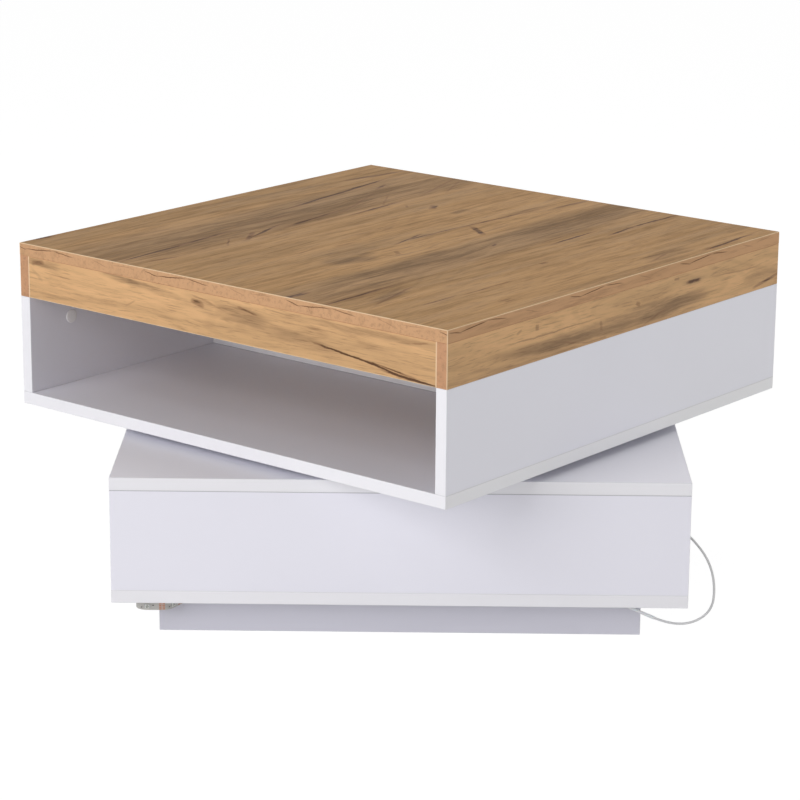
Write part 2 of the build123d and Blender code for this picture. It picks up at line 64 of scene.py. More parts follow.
# Lead, from the light strip's end to the battery box. It is as long as this route.
LEAD_ROUTE = (
    (0.314, -0.303, 0.0243), (0.3326, -0.305, 0.0173), (0.362, -0.307, 0.0195),
    (0.384, -0.309, 0.038), (0.386, -0.311, 0.07), (0.378, -0.3135, 0.102),
    (0.357, -0.318, 0.132), (0.332, -0.322, 0.152), (0.31, -0.322, 0.152),
)
SLEEVE_MOUTH = (0.2721, -0.2983, 0.0424)  # flattened over the end of the light strip
SLEEVE_NECK = (0.2833, -0.2997, 0.0359)
SLEEVE_SHAPE = (  # share of the way, height and thickness in millimetres
    (0.0, 9.6, 1.9), (0.03, 10.0, 2.2), (0.1, 8.4, 2.4), (0.2, 5.6, 2.9), (0.3, 4.1, 3.3),
    (0.45, 3.7, 3.6), (0.6, 3.8, 3.8), (0.75, 4.1, 4.1), (0.9, 4.3, 4.3), (0.98, 4.3, 4.3),
    (1.0, 4.0, 4.0),
)
CUT_SEARCH = 0.006  # a cut mark is looked for from this far outside its two chips
CHIP_RISE = 0.00095  # middle of a light chip above the strip's face

LAMPS = (  # name, place, size and tint
    ("key", (-2.6, -3.6, 2.2), 2.4, (0.975, 0.96, 1)),
    ("left", (-2.2, -1.8, 3.0), 2, (0.96, 0.975, 1)),
    ("low", (-3.4, -3.0, 0.9), 2, (0.985, 0.97, 1)),
    ("front", (0, -4.6, 1.4), 2, (1, 0.95, 1)),
    ("right", (3.6, -0.6, 0.8), 2, (1, 1, 0.98)),
    ("top", (0.3, 0.6, 3.4), 2, (1, 1, 1)),
)
LAMP_AIM = Vector((0, 0, 0.2))
FLOOR_HALF = 6.0
FLOOR_GLOW = 1.08  # strength of the white that is seen in place of the grey floor
FLOOR_WHITE_SHARE = 0.9  # the rest is the grey floor, which keeps the shadow


def paint(red, green, blue):
    """Linear colour for a display colour from 0 to 255."""
    return tuple(((c / 255 + 0.055) / 1.055) ** 2.4 for c in (red, green, blue))


def colour(name, description, default):
    """A colour that a user can change."""
    return FloatVectorProperty(
        name=name, description=description, default=paint(*default), subtype="COLOR", min=0, max=1)


def size(name, description, default):
    """A length that a user can change."""
    return FloatProperty(name=name, description=description, default=default, unit="LENGTH", precision=5)


def angle(name, description, default):
    """An angle that a user can change."""
    return FloatProperty(name=name, description=description, default=default, subtype="ANGLE")


def power(name, description, default):
    """A lamp's power that a user can change."""
    return FloatProperty(name=name, description=description, default=default, unit="POWER")


class OakFinish(bpy.types.PropertyGroup):
    """Oak decor of the table top and the aprons."""

    gold: colour("Gold", "Light ground of the decor", (224, 179, 128))
    olive: colour("Olive", "Middle ground of the decor", (202, 162, 115))
    smoke: colour("Smoke", "Grey-brown smears along the grain", (148, 117, 84))
    halo: colour("Halo", "Brown shade beside a crack", (126, 87, 59))
    crack: colour("Crack", "Fine dark cracks and knots", (76, 47, 26))
    band: colour("Edge band", "Redder band glued on the aprons' ends", (199, 151, 113))
    top_band: colour("Top band", "Band glued on the edges of the table top", (207, 163, 122))
    arris: colour("Arris", "Pale line where the band is trimmed", (236, 208, 170))
    arris_width: size("Arris width", "Width of that pale line", 0.0009)


class BoardFinish(bpy.types.PropertyGroup):
    """White melamine of both blocks and raw wood of what is glued inside."""

    face: colour("Face", "White face of the boards", (240, 240, 247))
    band: colour("Edge band", "Band glued on the narrow edges", (242, 242, 244))
    # Painted shade: the plinth's boards are the same white board as the rest, made darker to stand in for
    # the shadow under the bottom board's overhang.
    plinth: colour("Plinth face", "Greyer face of the plinth's boards", (222, 222, 230))
    # Partly a real glue line, partly painted shade: it stands in for the shadow in the narrow gaps
    # between boards.
    seam: colour("Seam", "Grey line of glue along the bands", (150, 150, 154))
    raw: colour("Raw wood", "Tongues and glued blocks", (205, 178, 138))


class FittingFinish(bpy.types.PropertyGroup):
    """Metal and plastic of the fittings."""

    steel: colour("Steel", "Zinc-plated screws and bolts", (186, 188, 192))
    zinc: colour("Zinc alloy", "Cast cams", (162, 164, 168))
    ring: colour("Ring", "Bearing rings", (196, 198, 202))
    ball: colour("Ball", "Polished bearing balls", (214, 216, 220))
    cage: colour("Cage", "Ball cage", (60, 62, 66))
    cap: colour("Cap", "Caps over the cams", (252, 252, 252))
    head_width: size("Head width", "Across the flats of the screws' heads", 0.007)
    head_height: size("Head height", "Of the screws' heads", 0.0026)


class LightFinish(bpy.types.PropertyGroup):
    """Light strip, lead and battery box."""

    film: colour("Film", "Light strip", (194, 192, 185))
    copper: colour("Copper", "Solder pads", (176, 130, 110))
    chip_body: colour("Chip", "Housing of a light chip", (222, 224, 216))
    chip_window: colour("Window", "Resin window of a light chip", (190, 194, 182))
    chip_die: colour("Die", "Dark dies in the window, and the resistors", (30, 30, 32))
    solder: colour("Solder", "Tinned legs of the chips", (190, 192, 196))
    sheath: colour("Sheath", "Sheath of the lead", (224, 225, 224))
    sleeve: colour("Sleeve", "Shrink sleeve over the solder joint", (243, 244, 243))
    box: colour("Box", "Battery box", (236, 236, 238))
    knob: colour("Knob", "Switch", (70, 72, 76))
    wrap: colour("Battery wrap", "Film round the cells", (74, 92, 120))
    circuit: colour("Circuit", "Circuit board", (58, 108, 78))
    tape: colour("Tape", "Foam tape", (226, 224, 214))
    lead_diameter: size("Lead diameter", "Across the lead's sheath", 0.003)


class StageSettings(bpy.types.PropertyGroup):
    """Camera, lamps and floor."""

    camera_place: FloatVectorProperty(
        name="Camera place", description="Where the camera stands", subtype="TRANSLATION", unit="LENGTH",
        precision=5, default=(0.027299, -3.606028, 1.223454))
    camera_pitch: angle("Camera pitch", "How far the camera looks down", 0.2726)
    camera_yaw: angle("Camera yaw", "How far it looks to the right", -0.0087)
    camera_roll: angle("Camera roll", "How far it leans", 0.0072)
    focal_length: FloatProperty(
        name="Focal length", description="Of a 36 mm wide sensor, in millimetres", default=127.925)
    key_power: power("Key lamp", "Power of the large lamp in front on the left", 74)
    left_power: power("Left lamp", "Power of the high lamp on the left", 17)
    low_power: power("Low lamp", "Power of the low lamp on the left", 29)
    front_power: power("Front lamp", "Power of the lamp in front", 15)
    right_power: power("Right lamp", "Power of the low lamp on the right", 33)
    top_power: power("Top lamp", "Power of the lamp overhead", 25)
    sky: FloatProperty(name="Sky", description="Strength of the even light all round", default=0.22)


# Node trees: each call adds one node and gives back an output of it
def add(tree, kind, inputs=(), output=0, **options):
    """Add a node with its options, and feed its inputs by name or number."""
    node = tree.nodes.new(kind)
    for name, value in options.items():
        setattr(node, name, value)
    for key, value in dict(inputs).items():
        if isinstance(value, bpy.types.NodeSocket):
            tree.links.new(value, node.inputs[key])
        else:
            node.inputs[key].default_value = value
    return node.outputs[output] if node.outputs else None


def calc(tree, operation, *values):
    """Sum of one kind with numbers."""
    return add(tree, "ShaderNodeMath", dict(enumerate(values)), operation=operation)


def vector_calc(tree, operation, *values, output=0):
    """Sum of one kind with vectors."""
    return add(tree, "ShaderNodeVectorMath", dict(enumerate(values)), output, operation=operation)


def largest(tree, values):
    """Largest of some numbers."""
    most = values[0]
    for value in values[1:]:
        most = calc(tree, "MAXIMUM", most, value)
    return most


def step(tree, value, low, high, start=0.0, end=1.0):
    """Smooth step of a value from low to high."""
    return add(
        tree, "ShaderNodeMapRange", {"Value": value, 1: low, 2: high, 3: start, 4: end},
        interpolation_type="SMOOTHSTEP")


def blend(tree, share, first, second, kind="MIX"):
    """Mix two colours."""
    def rgba(value):
        return value if isinstance(value, bpy.types.NodeSocket) else (*value[:3], 1)
    return add(
        tree, "ShaderNodeMix", {0: share, 6: rgba(first), 7: rgba(second)}, output=2,
        data_type="RGBA", blend_type=kind)


def coated(tree, tint, *coats):
    """Lay coats over a colour, each a share and its own colour."""
    for share, coat in coats:
        tint = blend(tree, share, tint, coat)
    return tint


def grain(tree, vector, stretch, detail=2.0, roughness=0.5, seed=0.0):
    """Noise with its own scale, per metre, along each axis."""
    scaled = vector_calc(tree, "MULTIPLY", vector, stretch)
    moved = vector_calc(tree, "ADD", scaled, (seed, -seed, 0.7 * seed))
    return add(tree, "ShaderNodeTexNoise", {
        "Vector": moved, "Scale": 1, "Detail": detail, "Roughness": roughness})


def board_place(tree, turn=0.0):
    """Object coordinates turned into a block's frame."""
    place = add(tree, "ShaderNodeTexCoord", output="Object")
    return add(tree, "ShaderNodeMapping", {"Vector": place, "Rotation": (0, 0, -turn)})


def empty_tree(owner):
    """Node tree of a material or a world, with nothing in it."""
    owner.use_nodes = True
    owner.node_tree.nodes.clear()
    return owner.node_tree


def new_material(name):
    """New material and its node tree."""
    material = bpy.data.materials.new(name)
    return material, empty_tree(material)


def finish(material, inputs):
    """End a material with its shader's inputs, and its bump as a pair of height and distance."""
    tree = material.node_tree
    height, distance = inputs.pop("bump")
    inputs["Normal"] = add(tree, "ShaderNodeBump", {"Height": height, "Distance": distance})
    add(tree, "ShaderNodeOutputMaterial", {"Surface": add(tree, "ShaderNodeBsdfPrincipled", inputs)})
    return material


def dress(material, *nodes):
    """Give CAD nodes their finish."""
    for node in nodes:
        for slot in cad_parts[node].material_slots:
            slot.material = material


def block_box(node, turn):
    """Middle and half size of a CAD node in its block's frame."""
    back = Matrix.Rotation(-turn, 3, "Z")
    points = [back @ vertex.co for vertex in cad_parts[node].data.vertices]
    low = Vector([min(point[i] for point in points) for i in range(3)])
    high = Vector([max(point[i] for point in points) for i in range(3)])
    return (low + high) / 2, (high - low) / 2


def solid_middles(node):
    """Middle of each solid in a CAD node."""
    mesh = bmesh.new()
    mesh.from_mesh(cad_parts[node].data)
    bmesh.ops.remove_doubles(mesh, verts=mesh.verts, dist=1e-6)
    waiting = dict.fromkeys(mesh.verts)  # in order, so that each run adds up the same way
    middles = []
    while waiting:
        solid = [waiting.popitem()[0]]
        for vertex in solid:
            for edge in vertex.link_edges:
                near = edge.other_vert(vertex)
                if near in waiting:
                    del waiting[near]
                    solid.append(near)
        middles.append(sum((vertex.co for vertex in solid), Vector()) / len(solid))
    mesh.free()
    return sorted(middles, key=lambda point: math.atan2(point.y, point.x))


def show(name, data):
    """Put a mesh or a curve into the scene."""
    shown = bpy.data.objects.new(name, data)
    bpy.context.scene.collection.objects.link(shown)
    return shown


def solid_piece(name, data, body, slot, *replaced):
    """Make a finished mesh or curve a piece of the table."""
    piece = show(name, data)
    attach(piece, body)
    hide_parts(*replaced)
    return piece


# Shapes of small pieces, each about its own origin
def skin(name, rows, sharp=35):
    """Closed mesh through rows of points. A row of one point is a pole."""
    mesh = bmesh.new()
    rings = [[mesh.verts.new(point) for point in row] for row in rows]
    for low, high in zip(rings, rings[1:]):
        for i in range(max(len(low), len(high))):
            j = i + 1
            corners = low[i % len(low)], low[j % len(low)], high[j % len(high)], high[i % len(high)]
            mesh.faces.new(dict.fromkeys(corners))
    for end in (rings[0], rings[-1]):
        if len(end) > 1:
            mesh.faces.new(end)
    return shaped(name, mesh, sharp)


def shaped(name, mesh, sharp=35):
    """Turn an edited mesh into a finished one, smooth but for its sharp edges."""
    bmesh.ops.recalc_face_normals(mesh, faces=mesh.faces)
    shape = bpy.data.meshes.new(name)
    mesh.to_mesh(shape)
    mesh.free()
    shape.shade_smooth()
    shape.set_sharp_from_angle(angle=math.radians(sharp))
    return shape


def ring_row(radius, height, sides):
    """Row of points round Z. The radius and the height may depend on the turn."""
    row = []
    for i in range(sides):
        turn = math.pi / 4 + math.tau * i / sides
        reach, level = (value(turn) if callable(value) else value for value in (radius, height))
        row.append((reach * math.cos(turn), reach * math.sin(turn), level))
    return row


def turned(name, profile, sides, sharp=35):
    """Turned shape from pairs of radius and height, from pole to pole."""
    rows = [ring_row(radius, height, sides) if radius else [(0, 0, height)] for radius, height in profile]
    return skin(name, rows, sharp)


def hexagon_fixing(name, width, height, thread, length, pitch, tip):
    """Hexagon head with chamfered corners and a dished top, below Z = 0, and its thread above."""
    sides, turn_steps, dish = 24, 5, 0.0003
    face, core = 0.46 * width, 0.39 * thread

    def flats(turn):
        return width / 2 / math.cos((turn + math.pi / 6) % (math.pi / 3) - math.pi / 6)

    def chamfer(turn):
        return 0.55 * (flats(turn) - face) - height

    def thread_at(level):
        taper = min(1, max(0.08, (length - level) / tip))
        return lambda turn: taper * (core + (thread / 2 - core) * abs(
            2 * ((level / pitch - turn / math.tau) % 1) - 1))
    rings = [
        (0.3 * width, dish - height), (0.35 * width, -height), (face, -height), (flats, chamfer),
        (flats, 0)]
    for i in range(round(length / pitch * turn_steps) + 1):
        level = min(i * pitch / turn_steps, length)
        rings.append((thread_at(level), level))
    rows = [ring_row(radius, level, sides) for radius, level in rings]
    return skin(name, [[(0, 0, dish - height)], *rows], 28)


def tube(name, stations, sides=24):
    """Closed tube through stations: middle, way, height and thickness."""
    outline = ring_row(0.5, 0, sides)
    rows = []
    for middle, way, height, thickness in stations:
        aside = way.cross(UP).normalized()
        up = aside.cross(way).normalized()
        rows.append([middle + aside * (x * thickness) + up * (y * height) for x, y, level in outline])
    return skin(name, rows)


# Copies of small shapes, stood in place by node trees
def copies_tree(name, asked):
    """Start a node tree with its inputs: gives the tree and what it asks for, by name."""
    tree = bpy.data.node_groups.new(name, "GeometryNodeTree")
    tree.interface.new_socket("Geometry", in_out="OUTPUT", socket_type="NodeSocketGeometry")
    for title, kind in (("Geometry", "Geometry"), ("Shape", "Object"), ("Finish", "Material"), *asked):
        tree.interface.new_socket(title, in_out="INPUT", socket_type=f"NodeSocket{kind}")
    return tree, tree.nodes.new("NodeGroupInput").outputs


def stand(tree, asked, points, rotation):
    """End a node tree: the shape at each point, as real faces with their finish."""
    shape = add(tree, "GeometryNodeObjectInfo", {"Object": asked["Shape"]}, output="Geometry")
    stood = add(
        tree, "GeometryNodeInstanceOnPoints", {"Points": points, "Instance": shape, "Rotation": rotation})
    real = add(tree, "GeometryNodeRealizeInstances", {"Geometry": stood})
    finished = add(tree, "GeometryNodeSetMaterial", {"Geometry": real, "Material": asked["Finish"]})
    add(tree, "NodeGroupOutput", {0: finished})
    return tree


def round_the_axis():
    """Node tree: copies of a shape in a ring round the swivel axis, each turned outwards."""
    tree, asked = copies_tree("round_the_axis", (
        ("Count", "Int"), ("Radius", "Float"), ("Start", "Float"), ("Level", "Float")))
    circle = add(tree, "GeometryNodeMeshCircle", {"Vertices": asked["Count"], "Radius": asked["Radius"]})
    ring = add(tree, "GeometryNodeTransform", {
        "Geometry": circle, "Translation": join(tree, 0, 0, asked["Level"]),
        "Rotation": join(tree, 0, 0, asked["Start"])})
    outward = vector_calc(tree, "MULTIPLY", add(tree, "GeometryNodeInputPosition"), (1, 1, 0))
    rotation = add(
        tree, "FunctionNodeAlignRotationToVector", {"Vector": outward}, axis="X", pivot_axis="Z")
    return stand(tree, asked, ring, rotation)


def at_marked_places():
    """Node tree: copies of a shape at the points of a mesh, turned as each point says."""
    tree, asked = copies_tree("at_marked_places", ())
    turn = add(tree, "GeometryNodeInputNamedAttribute", {"Name": "turn"}, data_type="FLOAT_VECTOR")
    return stand(tree, asked, asked["Geometry"], turn)


def copies(name, tree, shape, material, places=(), **settings):
    """Plain mesh of the copies that a node tree makes of a shape."""
    model = show("model", shape)
    points = bpy.data.meshes.new(name)
    points.from_pydata([place for place, turn in places], [], [])
    for mark, (place, turn) in zip(points.attributes.new("turn", "FLOAT_VECTOR", "POINT").data, places):
        mark.vector = turn
    holder = show("places", points)
    modifier = holder.modifiers.new("copies", "NODES")
    modifier.node_group = tree
    settings.update(Shape=model, Finish=material)
    for socket in tree.interface.items_tree:
        if socket.in_out == "INPUT" and socket.name in settings:
            modifier[socket.identifier] = settings[socket.name]
    evaluated = holder.evaluated_get(bpy.context.evaluated_depsgraph_get())
    mesh = bpy.data.meshes.new_from_object(evaluated)
    mesh.name = name
    for helper in (holder, model):
        bpy.data.objects.remove(helper)
    return mesh


def ring_copies(name, node, shape, material, level):
    """Copies of a shape where a CAD node's solids stand round the axis."""
    middles = solid_middles(node)
    return copies(
        name, round_the_axis(), shape, material, Count=len(middles), Radius=middles[0].xy.length,
        Start=math.atan2(middles[0].y, middles[0].x), Level=level)


# Oak decor. A mark is a place along and across the grain, half its length and width, its
# lean in degrees and its strength in percent. Places and sizes are in millimetres of the block.
TOP_SMOKE = (
    (0, -203, 600, 78, 0, 62), (0, 120, 640, 52, -1.5, 66), (-230, -250, 180, 40, 0, 40),
    (-150, 35, 46, 24, 20, 70), (-112, 25, 20, 12, 0, 50), (10, 15, 38, 9, 0, 60),
    (173, -45, 24, 9, -8, 50), (140, 315, 62, 20, -5, 45), (-265, 195, 48, 14, -12, 60),
    (-335, 110, 20, 8, 0, 90), (-215, -150, 24, 7, -20, 50), (-20, 340, 260, 12, 0, 30),
    (90, -315, 150, 9, 6, 45), (290, -291, 66, 7, 8, 70), (-110, 0, 60, 30, 0, 30),
    (-20, -155, 24, 10, 0, 50), (300, 40, 50, 6, 2, 35), (240, 20, 70, 7, 3, 40),
)
TOP_CRACKS = (
    (290, -291, 56, 2, 8, 55), (162, -249, 104, 2, -7.6, 90), (232, -233, 16, 1.8, -20, 70),
    (118, -144, 52, 1.9, -3.3, 70), (128, -186, 58, 1.3, -22, 50), (160, -165, 38, 1.2, -34, 35),
    (10, -164, 52, 2, -7, 80), (-100, -157, 43, 1.5, -17, 80), (-128, -153, 20, 2.4, -32, 70),
    (-180, -188, 52, 2, -5, 75), (-280, -179, 56, 1.6, -4, 80), (-173, -150, 16, 1.1, -40, 60),
    (-298, -144, 18, 2, 12, 60), (-30, -202, 34, 1.5, -4, 50), (318, 41, 36, 1.7, 2, 60),
    (165, 22, 80, 1.7, 3, 65), (40, 16, 52, 1.5, 2, 70), (93, 48, 20, 3.2, -54, 85),
    (-8, 13, 30, 1.4, -12, 75), (300, 189, 52, 1.7, 1, 75), (220, 191, 32, 1.5, -6, 75),
    (140, 169, 44, 1.6, -3, 75), (250, 335, 52, 1.8, -4, 80), (-155, 257, 38, 1.3, 0, 60),
    (-243, 253, 28, 1.3, -2, 60), (-292, 165, 60, 1.9, -1, 75), (-340, 108, 22, 3, 4, 75),
    (-4, 228, 6, 2.6, 10, 60), (38, 118, 7, 1.8, -20, 60), (172, -90, 11, 3.6, -30, 70),
    (152, -120, 7, 1.4, -45, 50), (-192, 309, 10, 1.4, 4, 55), (-190, 317, 9, 1.3, 0, 50),
    (-85, -28, 15, 2, 4, 40), (-78, 52, 9, 2.4, -50, 45), (-310, -348, 16, 4, 0, 80),
    (-205, -52, 12, 1.3, 40, 35), (24, -47, 12, 1.6, -8, 40), (-145, -40, 22, 1.2, -10, 40),
    (-60, 40, 24, 1.2, 10, 50), (-262, 198, 44, 1.3, -15, 60), (285, -172, 60, 1.4, -18, 45),
    (305, -160, 40, 1.2, -26, 40), (-90, 60, 16, 1.4, 30, 40), (120, 318, 26, 1.4, -14, 45),
)
FRONT_SMOKE = (
    (-306, 413, 40, 6, -3, 60), (-130, 411.5, 82, 5.5, -4.5, 90), (-36, 404, 34, 10, -8, 55),
    (180, 412, 190, 5, 0, 30), (126, 387, 76, 10, -6, 42), (40, 409, 34, 4, -6, 50),
    (-320, 398, 16, 3, -35, 30), (-250, 372, 90, 6, 2, 25), (34, 399, 60, 12, -5, 50),
)
FRONT_CRACKS = (
    (197, 381.6, 40, 0.8, -6.4, 95), (248, 374.6, 30, 0.9, -10, 100), (300, 368.6, 38, 1.1, -4, 100),
    (262, 375.2, 36, 0.8, -6, 75), (-317, 413, 9, 2, 10, 62), (-38, 405, 9, 2.4, -10, 65),
    (44, 408.4, 13, 0.9, -9, 68), (-280, 401, 22, 0.7, -3, 40), (-152, 387, 9, 0.9, 30, 30),
    (310, 413, 10, 0.8, 8, 40), (-20, 408, 26, 0.8, -12, 35), (150, 404, 80, 0.6, -1, 25),
)
SIDE_SMOKE = (
    (-90, 379, 190, 13, 0, 70), (90, 380, 110, 17, 0, 75), (320, 382, 60, 16, 0, 35),
    (-300, 372, 70, 6, 0, 35), (150, 404, 30, 4, 0, 50), (-60, 368, 300, 4, 0, 40),
)
SIDE_CRACKS = (
    (150, 404, 13, 1.5, -1, 80), (-180, 405, 3, 2.6, 0, 45), (326, 375, 28, 1.6, 9, 65),
    (28, 396, 4, 1.8, -20, 45), (-150, 394.5, 80, 0.7, 0, 45), (-50, 384, 2.5, 5, 10, 35),
    (-215, 407, 5, 1.4, 20, 35), (112, 413, 5, 1.2, 0, 40), (250, 399, 46, 0.8, -3, 35),
    (60, 372, 34, 0.9, 14, 35), (-110, 374, 40, 0.9, -12, 30),
)
HALO_REACH = (1.6, 2.0)  # a crack's brown halo is this much longer and wider than its core
BAND_REPEAT = 0.233  # the marks of the band come back after this length
WALL_BAND_START = 0.117  # how far they are moved along the block's Y and X
FRONT_BAND_START = 0.13
BAND_CRACKS = (
    (14, 429.4, 14, 0.8, -11, 75), (48, 430, 30, 0.8, 4.5, 85), (92, 430.7, 22, 0.8, -6, 70),
    (158, 428.6, 16, 0.5, -14, 35), (196, 431, 20, 0.5, 3, 30),
)


def split(tree, vector):
    """The three parts of a vector."""
    node = tree.nodes.new("ShaderNodeSeparateXYZ")
    tree.links.new(vector, node.inputs[0])
    return dict(zip("XYZ", node.outputs))


def join(tree, x, y, z=0.0):
    """A vector from its three parts."""
    return add(tree, "ShaderNodeCombineXYZ", {0: x, 1: y, 2: z})


def marks(tree, place, table, longer=1.0, wider=1.0):
    """Strongest of a board's marks at each place. It is carried along as the place's third part."""
    parts = split(tree, place)
    carried = join(tree, parts["X"], parts["Y"])
    for along, across, length, width, lean, strength in table:
        own = add(tree, "ShaderNodeMapping", {
            "Vector": carried, "Location": (along / 1000, across / 1000, 0),
            "Rotation": (0, 0, math.radians(lean)),
            "Scale": (longer * length / 1000, wider * width / 1000, 1000),
        }, vector_type="TEXTURE")
        reach = vector_calc(tree, "LENGTH", vector_calc(tree, "MULTIPLY", own, own), output="Value")
        amount = step(tree, reach, 0, 1, strength / 100, 0)
        carried = vector_calc(tree, "MAXIMUM", carried, join(tree, -10, -10, amount))
    return split(tree, carried)["Z"]


def edge_depth(tree, place, node, turn):
    """A place from its board's middle, and how far it is outside each pair of the board's faces."""
    middle, half = block_box(node, turn)
    from_middle = vector_calc(tree, "SUBTRACT", place, middle)
    outside = vector_calc(tree, "SUBTRACT", vector_calc(tree, "ABSOLUTE", from_middle), half)
    return split(tree, from_middle), split(tree, outside)


def edge_masks(tree, place, node, turn, banded, ease, pale):
    """Where a board's trimmed arrises are, and where its banded narrow edges are."""
    from_middle, depth = edge_depth(tree, place, node, turn)
    level = calc(tree, "MINIMUM", calc(tree, "MAXIMUM", depth["X"], depth["Y"]), depth["Z"])
    kinds = {"upright": calc(tree, "MINIMUM", depth["X"], depth["Y"])}
    for kind, other_half in (("upper", "LESS_THAN"), ("lower", "GREATER_THAN")):
        kinds[kind] = calc(tree, "SUBTRACT", level, calc(tree, other_half, from_middle["Z"], 0))
    arris = largest(tree, [step(tree, kinds[kind], -1.2 * ease, -0.7 * ease) for kind in pale])
    return arris, step(tree, largest(tree, [depth[axis] for axis in banded]), *BAND_FADE)


def oak(node, along, across, banded, pale, smoke, cracks, shade, contrast, gloss, band_name, seed):
    """Oak decor of one board of the upper block, with its grain along one axis of the block."""
    look = bpy.context.scene.table_oak
    material, tree = new_material(f"oak_{node}")
    block = board_place(tree, UPPER_TURN)
    axes = split(tree, block)
    other = ({"X", "Y", "Z"} - {along, across}).pop()
    arris, band = edge_masks(tree, block, node, UPPER_TURN, banded, look.arris_width, pale)
    place = join(tree, axes[along], axes[across], axes[other])

    # The grain sways slowly, and the marks also wave in small steps.
    sway = calc(tree, "MULTIPLY_ADD", grain(tree, place, (3.5, 9, 9), 2, seed=seed), 0.022, -0.011)
    wave = calc(
        tree, "MULTIPLY_ADD", grain(tree, place, (22, 70, 70), 4, 0.65, seed + 1), 0.006, -0.003)
    bent = vector_calc(tree, "ADD", place, join(tree, 0, sway, sway))
    rough = vector_calc(tree, "ADD", place, join(tree, 0, wave))

    ground = grain(tree, bent, (1.6, 15, 15), 3, 0.6, seed + 3)
    streaks = grain(tree, bent, (5, 72, 72), 4, 0.65, seed + 5)
    fibre = grain(tree, bent, (15, 210, 210), 4, 0.75, seed + 7)
    dapple = grain(tree, bent, (22, 55, 55), 3, 0.6, seed + 9)
    hairs = grain(tree, bent, (30, 260, 260), 3, 0.7, seed + 15)
    pores = grain(tree, bent, (32, 560, 560), 2, 0.6, seed + 19)
    slow = grain(tree, bent, (1.4, 7, 7), 2, 0.5, seed + 13)
    rings = calc(tree, "SINE", calc(tree, "MULTIPLY", slow, 150))

    smoked = calc(tree, "MULTIPLY", marks(tree, rough, smoke), step(tree, streaks, 0.3, 0.62, 0.3, 1.5))
    frayed = calc(tree, "MULTIPLY", marks(tree, rough, cracks, *HALO_REACH), step(
        tree, hairs, 0.25, 0.75, 0.7, 1.3))
    cracked = step(tree, frayed, 0.5, 0.8, 0, 0.9)

    tint = coated(
        tree, look.olive,
        (step(tree, ground, 0.36, 0.62), look.gold),
        (step(tree, streaks, 0.46, 0.74, 0, 0.5 * contrast), look.smoke),
        (smoked, look.smoke),
        (step(tree, rings, 0.2, 1, 0, 0.08), look.crack),
        (step(tree, fibre, 0.5, 0.3, 0, 0.3 * contrast), look.gold),
        (step(tree, fibre, 0.48, 0.7, 0, 0.32 * contrast), look.crack),
        (step(tree, pores, 0.54, 0.72, 0, 0.3), look.crack),
        (step(tree, dapple, 0.5, 0.8, 0, 0.1), look.gold))
    tint = blend(tree, 1, tint, shade, "MULTIPLY")
    tint = coated(
        tree, tint, (step(tree, frayed, 0.05, 0.5, 0, 0.5), look.halo), (cracked, look.crack))

    repeat = calc(tree, "WRAP", edge_runs(tree, block, node), BAND_REPEAT, 0)
    strip = join(tree, repeat, calc(tree, "MULTIPLY_ADD", wave, 0.45, axes["Z"]))
    band_tint = coated(
        tree, getattr(look, band_name),
        (step(tree, streaks, 0.45, 0.8, 0, 0.35), look.smoke),
        (step(tree, fibre, 0.48, 0.7, 0, 0.25), look.crack),
        (marks(tree, strip, BAND_CRACKS), look.crack))
    tint = coated(tree, tint, (band, band_tint), (calc(tree, "MULTIPLY", arris, 0.9), look.arris))
    height = calc(tree, "SUBTRACT", calc(tree, "MULTIPLY_ADD", pores, 0.6, fibre), cracked)
    return finish(material, {
        "Base Color": tint,
        "Roughness": step(tree, streaks, 0.3, 0.7, 0.44, 0.56),
        "Specular IOR Level": gloss,
        "bump": (height, 0.00007),
    })


def edge_runs(tree, block, node):
    """How far along the narrow edge a place is, whichever of the block's sides it is on."""
    axes = split(tree, block)
    depth = edge_depth(tree, block, node, UPPER_TURN)[1]
    on_wall = calc(tree, "GREATER_THAN", depth["X"], depth["Y"])
    along_wall = calc(tree, "ADD", axes["Y"], WALL_BAND_START)
    along_front = calc(tree, "ADD", axes["X"], FRONT_BAND_START)
    return add(tree, "ShaderNodeMix", {0: on_wall, 2: along_front, 3: along_wall})


def melamine(
        node, turn, banded, face="face", seams=("upright", "upper", "lower"), ease=0.0004, depth=0.3):
    """White board: pebbled face, smoother band on its narrow edges, and a grey line along the chosen
    seams that is partly glue and partly painted shade of the gap between boards.
    """
    look = bpy.context.scene.table_board
    material, tree = new_material(f"melamine_{node}")
    place = board_place(tree, turn)
    arris, band = edge_masks(tree, place, node, turn, banded, ease, seams)
    cloud = grain(tree, place, (3, 3, 3), 2)
    pebble = grain(tree, place, (1400,) * 3, 2, 0.6)
    return finish(material, {
        # The seam line is partly glue and partly painted shade in the joints; depth sets how dark it is.
        "Base Color": coated(
            tree, getattr(look, face), (step(tree, cloud, 0.3, 0.7, 0, 0.03), (0.5, 0.5, 0.55)),
            (band, look.band), (calc(tree, "MULTIPLY", arris, depth), look.seam)),
        "Roughness": step(tree, band, 0, 1, 0.46, 0.38),
        "Specular IOR Level": 0.4,
        "bump": (pebble, 0.00002),
    })


def raw_wood():
    """Plain wood of tongues and glued blocks."""
    look = bpy.context.scene.table_board
    material, tree = new_material("raw_wood")
    place = board_place(tree)
    fibre = grain(tree, place, (60, 60, 260), 3, 0.6)
    rings = grain(tree, place, (14, 14, 40), 2)
    return finish(material, {
        "Base Color": coated(
            tree, look.raw, (step(tree, rings, 0.3, 0.7, 0, 0.3), paint(166, 132, 92)),
            (step(tree, fibre, 0.4, 0.8, 0, 0.25), paint(140, 108, 74))),
        "Roughness": 0.75,
        "bump": (fibre, 0.00012),
    })


